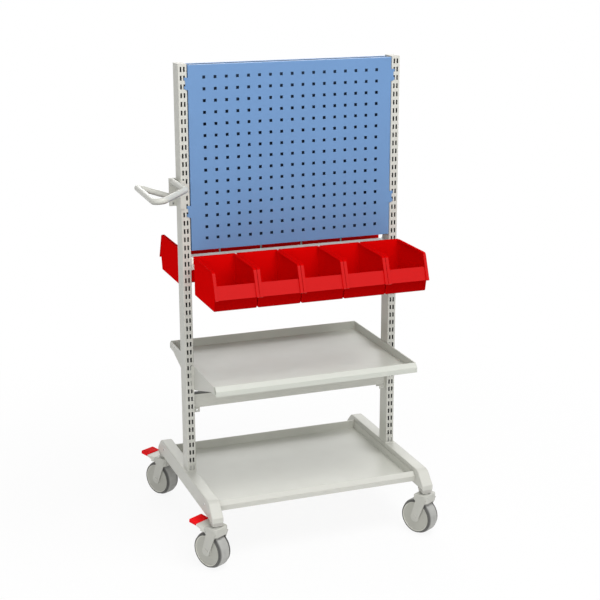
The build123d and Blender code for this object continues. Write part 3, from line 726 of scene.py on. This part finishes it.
def tread_place(name):
    """Place of a brake tread: the middle of its underside, its length as Y, its tilt about X."""
    size = sizes()
    low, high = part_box(f"{name}_tread")
    turn = Matrix.Rotation(size.castor_turn, 4, "Z") @ Matrix.Rotation(size.tread_tilt, 4, "X")
    half = turn @ Vector((0, 0, (size.tread_depth + size.tread_rib) / 2))
    return Matrix.Translation((low + high) / 2 - half) @ turn


def brake_tread():
    """A brake tread with grip ribs across it, on Z 0 and centred on the Z axis."""
    size = sizes()
    strips = 2 * size.tread_ribs + 1
    pitch = size.tread_length / strips
    tread = begin(
        "tread_model", bpy.ops.mesh.primitive_grid_add,
        x_subdivisions=1, y_subdivisions=strips, size=1)
    pick(tread, "FACE", lambda f: True)
    bpy.ops.transform.resize(value=(size.tread_width, size.tread_length, 1))
    bpy.ops.mesh.extrude_region_move(TRANSFORM_OT_translate={"value": (0, 0, size.tread_depth)})
    bpy.ops.mesh.select_all(action="SELECT")
    bpy.ops.mesh.normals_make_consistent(inside=False)
    pick(tread, "EDGE", lambda e: corner(e, size))
    bpy.ops.mesh.bevel(offset=TREAD_ROUND * size.tread_length, segments=4, affect="EDGES")

    def rib(face):
        strip = (face.calc_center_median().y + size.tread_length / 2) / pitch
        return face.normal.z > NEARLY_ALL and int(strip) % 2 == 1

    pick(tread, "FACE", rib)
    bpy.ops.mesh.inset(thickness=TREAD_ROUND * pitch)
    bpy.ops.mesh.extrude_region_move(TRANSFORM_OT_translate={"value": (0, 0, size.tread_rib)})
    bpy.ops.object.mode_set(mode="OBJECT")
    edge = tread.modifiers.new("edge", "BEVEL")
    edge.width = size.tread_rib / 2
    edge.segments = 2
    apply_modifiers(tread)
    soften(tread)
    return tread


def corner(edge, size):
    """True for the four upright corner edges of a tread."""
    start, end = (vertex.co for vertex in edge.verts)
    upright = abs(start.z - end.z) > NEARLY_ALL * size.tread_depth
    outer = abs(start.x) > NEARLY_HALF * size.tread_width
    return upright and outer and abs(start.y) > NEARLY_HALF * size.tread_length


def button_screw():
    """A button-head screw with a hexagon socket, its head above Z 0 and its shank below."""
    size = sizes()
    head = begin(
        "screw_model", bpy.ops.mesh.primitive_cylinder_add, vertices=HEAD_SIDES,
        radius=size.screw_head, depth=size.screw_rise, location=(0, 0, size.screw_rise / 2))
    pick(head, "EDGE", lambda e: all(v.co.z > 0 for v in e.verts))
    bpy.ops.mesh.bevel(
        offset=size.screw_rise * HEAD_ROUND, segments=4, profile=HEAD_PROFILE, affect="EDGES")
    pick(head, "FACE", lambda f: f.normal.z < -NEARLY_ALL)
    bpy.ops.mesh.inset(thickness=size.screw_head - size.screw_shank)
    bpy.ops.mesh.extrude_region_move(TRANSFORM_OT_translate={"value": (0, 0, -size.screw_rise)})
    bpy.ops.object.mode_set(mode="OBJECT")
    socket = begin(
        "socket_cutter", bpy.ops.mesh.primitive_cylinder_add, vertices=6,
        radius=size.socket_radius, depth=2 * size.socket_depth, location=(0, 0, size.screw_rise))
    fresh()
    bpy.context.view_layer.objects.active = head
    head.select_set(True)
    cut = head.modifiers.new("socket", "BOOLEAN")
    cut.operation = "DIFFERENCE"
    cut.solver = "EXACT"
    cut.object = socket
    apply_modifiers(head)
    bpy.data.objects.remove(socket)
    soften(head)
    tint = colours()
    head.data.materials.append(plated("screw_zinc", tint.zinc, roughness=0.30))
    # Painted shade in the socket
    head.data.materials.append(shadowed("socket_painted_shade", tint.shade_black))
    pick(head, "FACE", lambda f: in_socket(f, size))
    head.active_material_index = 1
    bpy.ops.object.material_slot_assign()
    bpy.ops.object.mode_set(mode="OBJECT")
    return head


def in_socket(face, size):
    """True for the walls and the floor of a screw's socket."""
    middle = face.calc_center_median()
    return middle.xy.length < size.socket_radius and 0 < middle.z < size.screw_rise


def weld_bead(width, depth):
    """A rippled bead round a rectangle in the X-Y plane, centred on the origin."""
    size = sizes()
    bead = begin("weld_model", bpy.ops.mesh.primitive_plane_add, size=1)
    pick(bead, "FACE", lambda f: True)
    bpy.ops.transform.resize(value=(width, depth, 1))
    bpy.ops.mesh.delete(type="ONLY_FACE")
    for axis, length in ((0, width), (1, depth)):
        pick(bead, "EDGE", lambda e: abs(e.verts[0].co[axis] - e.verts[1].co[axis]) > length / 2)
        bpy.ops.mesh.subdivide(number_cuts=int(length / size.bead_ripple) * 2)
    bpy.ops.object.mode_set(mode="OBJECT")
    bpy.ops.object.convert(target="CURVE")
    bead = bpy.context.object
    bead.data.bevel_depth = size.bead_radius
    bead.data.bevel_resolution = 2
    for number, point in enumerate(bead.data.splines[0].points):
        point.radius = 1.0 if number % 2 else BEAD_WAIST
    bpy.ops.object.convert(target="MESH")
    bead = bpy.context.object
    soften(bead, BEAD_SMOOTH_ANGLE)
    return bead


class TROLLEY_OT_frame_finish(bpy.types.Operator):
    """Powder-coats the frame, trays, brackets and handle, with painted shade inside the uprights,
    on the cross beam's top and under the handle, painted light on the bin beam, and a greener
    shelf against the bins' red bounce
    """
    bl_idname = "trolley.frame_finish"
    bl_label = "Frame Finish"

    def execute(self, context):
        tint = colours()
        grey = tint.frame_grey
        coat = powder_coat("frame_powder_coat", grey, roughness=0.42)
        dress(
            coat, "left_foot", "right_foot", "beam_brackets", "handle_bracket", "handle_clamp",
            *[f"{side}_{end}_shelf_bracket" for side in SIDES for end in ENDS])
        # Painted light: a lighter copy of the frame paint on the bin beam and its rails
        beam = powder_coat("beam_powder_coat", scaled(grey, BEAM_PAINTED_LIGHT), roughness=0.42)
        dress(beam, "bin_beam", "front_bin_rail", "rear_bin_rail")
        # Painted shade: the cross beam's top is near black, standing for the shade in the gap
        # under the shelf
        cross = powder_coat(
            "cross_beam_powder_coat", grey, roughness=0.42,
            painted_shade_mask=topside, painted_shade_colour=tint.shade_black)
        dress(cross, "cross_beam")
        # Painted shade: the uprights are near black inside and on the cut edges of their slots
        tube = powder_coat(
            "upright_powder_coat", grey, roughness=0.42,
            painted_shade_mask=inside_tube, painted_shade_colour=tint.shade_black)
        dress(tube, "left_upright", "right_upright")
        # Painted light: the shelf gets the greener grey that cancels the red light bounced from
        # the bins
        dress(powder_coat("shelf_bounce_offset_coat", tint.shelf_grey_against_red_bounce, roughness=0.40), "shelf_tray")
        dress(powder_coat("base_powder_coat", grey, roughness=0.40), "base_tray")
        # Painted shade: the handle is darker underneath, where shade falls
        grip = scaled(grey, HANDLE_SHADE)
        bar = powder_coat(
            "handle_powder_coat", grip, roughness=0.36, painted_shade_mask=underside,
            painted_shade_colour=scaled(grip, UNDER_HANDLE_PAINTED_SHADE))
        dress(bar, "handle_tube")
        plastic = moulded("cap_plastic", tint.cap_grey, roughness=0.50, grain=0.0012, gloss=0.4)
        dress(plastic, "upright_caps", "foot_end_caps")
        dress(plated("zinc_plate", tint.zinc, roughness=0.32), "upright_spigots", "castor_stems")
        return {"FINISHED"}


class TROLLEY_OT_panel_finish(bpy.types.Operator):
    """Powder-coats the perforated panels"""
    bl_idname = "trolley.panel_finish"
    bl_label = "Panel Finish"

    def execute(self, context):
        blue = colours().panel_blue
        # Painted shade: the panels' folded backs are darkened so the holes look dark
        coat = powder_coat(
            "panel_powder_coat", blue, roughness=0.44, painted_shade_mask=behind_panel,
            painted_shade_colour=scaled(blue, PANEL_BACK_PAINTED_SHADE))
        dress(coat, "front_panel", "rear_panel")
        return {"FINISHED"}


class TROLLEY_OT_bin_finish(bpy.types.Operator):
    """Gives the bins their moulded plastic"""
    bl_idname = "trolley.bin_finish"
    bl_label = "Bin Finish"

    def execute(self, context):
        # The bins' faces that lean up or down are darkened as painted shade
        plastic = moulded(
            "bin_plastic", colours().bin_red, roughness=0.42, grain=0.0010, gloss=0.0,
            sheen=0.48, upper=BIN_UPPER_PAINTED_SHADE, under=BIN_UNDER_PAINTED_SHADE)
        dress(plastic, *BINS)
        return {"FINISHED"}


class TROLLEY_OT_castor_finish(bpy.types.Operator):
    """Finishes the forks, axles, wheels, tyres and brake levers"""
    bl_idname = "trolley.castor_finish"
    bl_label = "Castor Finish"

    def execute(self, context):
        tint = colours()
        coat = powder_coat("fork_powder_coat", tint.fork_grey, roughness=0.38)
        for name in CASTORS:
            wheel, tyre = f"{name}_wheel", f"{name}_tyre"
            dress(coat, f"{name}_fork", f"{name}_axle")
            dress(disc_plastic(wheel, tint.wheel_grey, roughness=0.46), wheel)
            dress(rubber(tyre, tint.tyre_grey, tint.shoulder_painted_shade, roughness=0.62), tyre)
        # Painted light: the brake levers get a lighter copy of the fork paint
        lever = powder_coat(
            "lever_painted_light_coat", scaled(tint.fork_grey, LEVER_PAINTED_LIGHT), roughness=0.38)
        pins = plated("pin_zinc", scaled(tint.zinc, PIN_SHADE), roughness=0.45)
        for name in BRAKED:
            dress(lever, f"{name}_pedal")
            dress(pins, f"{name}_pin")
        return {"FINISHED"}


class TROLLEY_OT_treads(bpy.types.Operator):
    """Replaces the plain brake treads with ribbed ones"""
    bl_idname = "trolley.treads"
    bl_label = "Brake Treads"

    def execute(self, context):
        model = brake_tread()
        plastic = moulded(
            "tread_plastic", colours().tread_red, roughness=0.42, grain=0.0009, gloss=0.03)
        model.data.materials.append(plastic)
        for name in BRAKED:
            piece = copies(model, [tread_place(name)], f"{name}_ribbed_tread")
            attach(piece, f"{name}_brake")
            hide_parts(f"{name}_tread")
        bpy.data.objects.remove(model)
        return {"FINISHED"}


class TROLLEY_OT_screws(bpy.types.Operator):
    """Replaces the plain screws with socket screws"""
    bl_idname = "trolley.screws"
    bl_label = "Screws"

    def places(self):
        """Seat and outward direction of every screw, by CAD node."""
        size = sizes()
        low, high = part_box("tray_screws")
        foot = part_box("right_foot")[1].x
        reach = high.y - size.screw_head
        tray = [
            ((side * foot, end * reach, (low.z + high.z) / 2), (side, 0, 0))
            for side in SIDES.values() for end in ENDS.values()]
        low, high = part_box("rail_screws")
        row = high.x - size.screw_head
        rail = [
            ((x, end * (high.y - size.screw_rise), (low.z + high.z) / 2), (0, end, 0))
            for x in (-row, 0, row) for end in ENDS.values()]
        low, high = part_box("handle_screw")
        middle = (low + high) / 2
        handle = [((middle.x, low.y + size.screw_rise, middle.z), (0, -1, 0))]
        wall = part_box("beam_brackets")[1].x - size.bracket_sheet
        saddle = wall - size.saddle_inset
        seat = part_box("cross_beam")[0].z - size.bracket_sheet
        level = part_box("beam_screws")[0].z + size.screw_head
        beam = []
        for side in SIDES.values():
            beam.append(((side * wall, 0, level), (-side, 0, 0)))
            beam.append(((side * saddle, 0, seat), (0, 0, -1)))
        return {
            "tray_screws": tray, "rail_screws": rail, "handle_screw": handle, "beam_screws": beam}

    def execute(self, context):
        model = button_screw()
        for node, seats in self.places().items():
            places = [facing(outward, seat) for seat, outward in seats]
            piece = copies(model, places, f"{node}_socket_heads")
            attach(piece, "frame")
            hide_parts(node)
        bpy.data.objects.remove(model)
        return {"FINISHED"}


class TROLLEY_OT_welds(bpy.types.Operator):
    """Adds the painted weld beads at the feet of the uprights and the ends of the bin beam"""
    bl_idname = "trolley.welds"
    bl_label = "Weld Beads"

    def execute(self, context):
        low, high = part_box("right_upright")
        foot = (high.x - low.x, high.y - low.y)
        upright_x = (low.x + high.x) / 2
        foot_seats = [Matrix.Translation((side * upright_x, 0, low.z)) for side in SIDES.values()]
        low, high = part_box("bin_beam")
        beam = (high.z - low.z, high.y - low.y)
        level = (low.z + high.z) / 2
        upright = Matrix.Rotation(math.radians(90), 4, "Y")
        beam_seats = [
            Matrix.Translation((side * high.x, 0, level)) @ upright for side in SIDES.values()]
        finish = powder_coat("weld_powder_coat", colours().frame_grey, roughness=0.45)
        welds = (("foot_weld_beads", foot, foot_seats), ("beam_weld_beads", beam, beam_seats))
        for name, outline, seats in welds:
            model = weld_bead(*outline)
            model.data.materials.append(finish)
            piece = copies(model, seats, name)
            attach(piece, "frame")
            bpy.data.objects.remove(model)
        return {"FINISHED"}


class TROLLEY_OT_stage(bpy.types.Operator):
    """Sets the floor, the lights and the camera"""
    bl_idname = "trolley.stage"
    bl_label = "Stage"

    def floor(self):
        """Adds white paper that shows a faint shadow and turns plain away from the trolley."""
        piece = begin(
            "studio_floor", bpy.ops.mesh.primitive_grid_add,
            x_subdivisions=2, y_subdivisions=2, size=FLOOR_SIZE)
        paper = Finish("studio_paper")
        fibre = paper.noise(width=0.4)
        white = colours().floor_white
        paper.shade(
            Base_Color=paper.tint(fibre, scaled(white, 0.99), white),
            Roughness=0.9 + 0.05 * fibre)
        away = paper.node(
            "ShaderNodeVectorMath", {"operation": "LENGTH"}, {0: paper.place}, "Value")
        glow = studio().floor_glow
        clean = glow + (1.0 - glow) * paper.rise(away, *FLOOR_CLEARS)
        light = paper.node("ShaderNodeEmission", {}, {"Color": WHITE, "Strength": 1.0})
        plain = Link(paper, paper.shader.outputs["BSDF"])
        mixed = paper.node(
            "ShaderNodeMixShader", {}, {0: clean * seen(paper), 1: plain, 2: light})
        paper.feed(paper.tree.nodes["Material Output"].inputs["Surface"], mixed)
        piece.data.materials.append(paper.material)
        piece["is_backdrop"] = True

    def lamp(self, name, place, power):
        """Hangs a soft lamp that faces the trolley."""
        light = bpy.data.lights.new(name, "AREA")
        light.shape = "RECTANGLE"
        light.size, light.size_y = studio().lamp_width, studio().lamp_height
        light.energy = power
        lamp = bpy.data.objects.new(name, light)
        bpy.context.scene.collection.objects.link(lamp)
        lamp.location = place
        ahead = Vector(studio().lamp_aim) - Vector(place)
        lamp.rotation_euler = ahead.to_track_quat("-Z", "Y").to_euler()

    def camera(self):
        """Stands the camera where the picture was taken from."""
        view = studio()
        turn, fall, roll = view.camera_turn, view.camera_fall, view.camera_roll
        out = math.cos(fall)
        ahead = Vector((math.sin(turn) * out, math.cos(turn) * out, -math.sin(fall)))
        level = Vector((math.cos(turn), -math.sin(turn), 0.0))
        down = ahead.cross(level)
        right = math.cos(roll) * level + math.sin(roll) * down
        down = math.cos(roll) * down - math.sin(roll) * level
        lens = bpy.data.cameras.new("photo_camera")
        lens.angle = view.camera_view
        camera = bpy.data.objects.new("photo_camera", lens)
        bpy.context.scene.collection.objects.link(camera)
        place = Matrix((right, -down, -ahead)).transposed().to_4x4()
        camera.matrix_world = Matrix.Translation(view.camera_place) @ place
        bpy.context.scene.camera = camera

    def world(self):
        """Sets the all-round light, behind which the background is plain white."""
        ambient = studio().ambient
        sky = Finish("studio_world", bpy.data.worlds, "Background")
        bpy.context.scene.world = sky.material
        sky.shade(Color=WHITE, Strength=ambient + (1.0 - ambient) * seen(sky))

    def execute(self, context):
        context.scene.view_settings.view_transform = "Standard"
        self.floor()
        self.world()
        view = studio()
        self.lamp("key_lamp", view.key_place, view.key_power)
        self.lamp("fill_lamp", view.fill_place, view.fill_power)
        self.lamp("rear_lamp", view.rear_place, view.rear_power)
        self.camera()
        return {"FINISHED"}


class TROLLEY_PT_sidebar(bpy.types.Panel):
    """Lists the steps that dress the trolley"""
    bl_idname = "TROLLEY_PT_sidebar"
    bl_label = "Utility Trolley"
    bl_space_type = "VIEW_3D"
    bl_region_type = "UI"
    bl_category = "Trolley"

    def draw(self, context):
        for step in STEPS:
            self.layout.operator(step.bl_idname)
        for group in (sizes(), colours(), studio()):
            column = self.layout.column(align=True)
            for key in group.__annotations__:
                column.prop(group, key)


STEPS = (
    TROLLEY_OT_frame_finish,
    TROLLEY_OT_panel_finish,
    TROLLEY_OT_bin_finish,
    TROLLEY_OT_castor_finish,
    TROLLEY_OT_treads,
    TROLLEY_OT_screws,
    TROLLEY_OT_welds,
    TROLLEY_OT_stage,
)
CLASSES = (TrolleySizes, TrolleyColours, TrolleyStudio, *STEPS, TROLLEY_PT_sidebar)


def register():
    for made in CLASSES:
        bpy.utils.register_class(made)
    bpy.types.Scene.trolley_sizes = PointerProperty(type=TrolleySizes)
    bpy.types.Scene.trolley_colours = PointerProperty(type=TrolleyColours)
    bpy.types.Scene.trolley_studio = PointerProperty(type=TrolleyStudio)


def unregister():
    del bpy.types.Scene.trolley_studio
    del bpy.types.Scene.trolley_colours
    del bpy.types.Scene.trolley_sizes
    for made in reversed(CLASSES):
        bpy.utils.unregister_class(made)


def main():
    register()
    for step in STEPS:
        group, name = step.bl_idname.split(".")
        getattr(getattr(bpy.ops, group), name)()
    boxes = {"cad": CAD_BOX, "visual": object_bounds()}
    boxes = {name: [list(point) for point in box] for name, box in boxes.items()}


if __name__ == "__main__":
    main()
